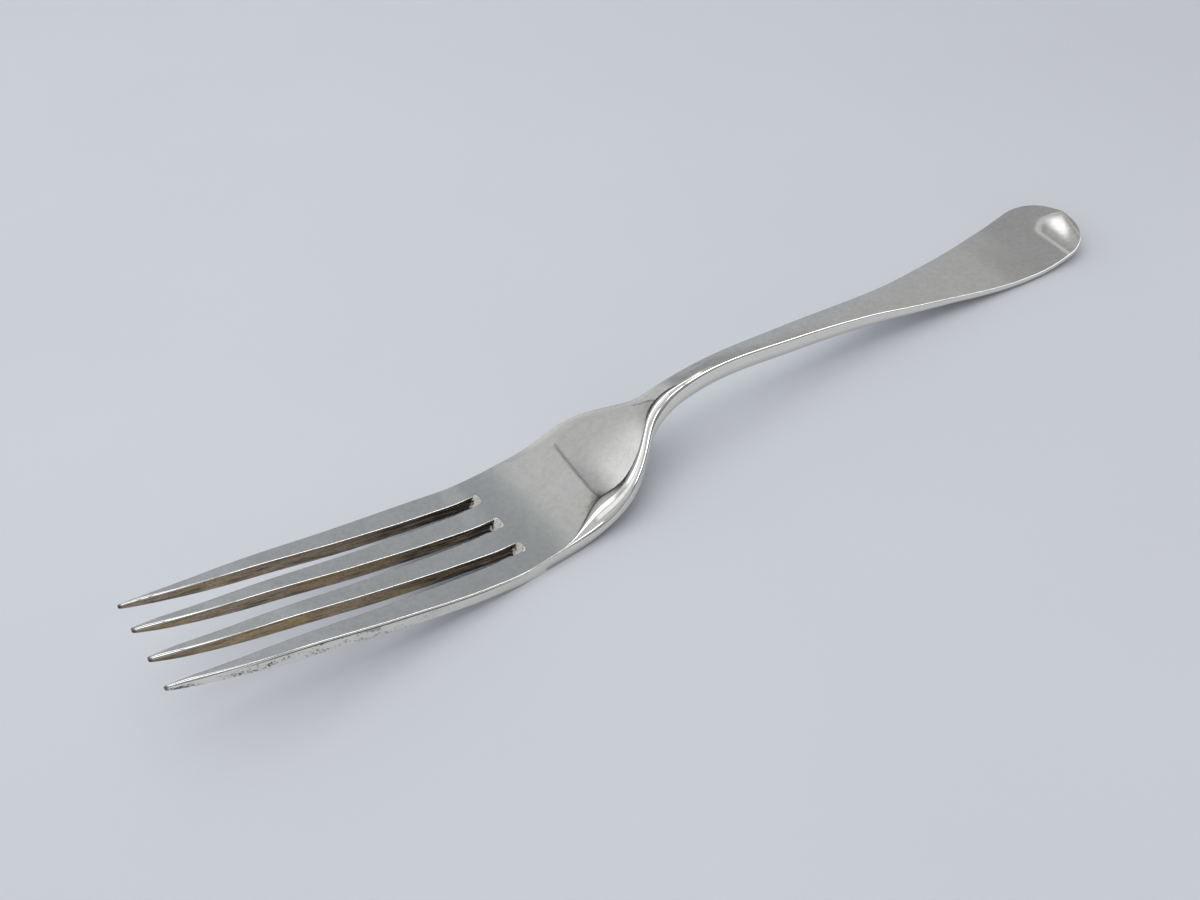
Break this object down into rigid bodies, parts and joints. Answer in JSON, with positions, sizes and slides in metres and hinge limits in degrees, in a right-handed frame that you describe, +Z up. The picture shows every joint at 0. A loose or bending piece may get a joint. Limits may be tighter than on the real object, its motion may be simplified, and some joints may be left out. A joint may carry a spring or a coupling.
{
  "type": "dinner fork",
  "caption": "Metal dinner fork with long tapering tines, a shallow curved palm, a slim arched neck and a handle that broadens to a rounded, upturned end.",
  "frame": {"origin": "centre of the bounding box at its bottom, on the table that the fork lies on", "axes": "+X from the tine tips to the end of the handle, +Y across the tines from tine_4 to tine_1, +Z up from the table, with the hollow side of the head facing up"},
  "size_m": [0.204, 0.0244, 0.0163],
  "materials": {
    "silver": "worn polished silver, satin on top, with brown tarnish in the slots"
  },
  "bodies": {
    "root": {"tine_1": "silver", "tine_2": "silver", "tine_3": "silver", "tine_4": "silver", "palm": "silver", "neck": "silver", "stem": "silver", "handle_end": "silver"}
  },
  "joints": []
}
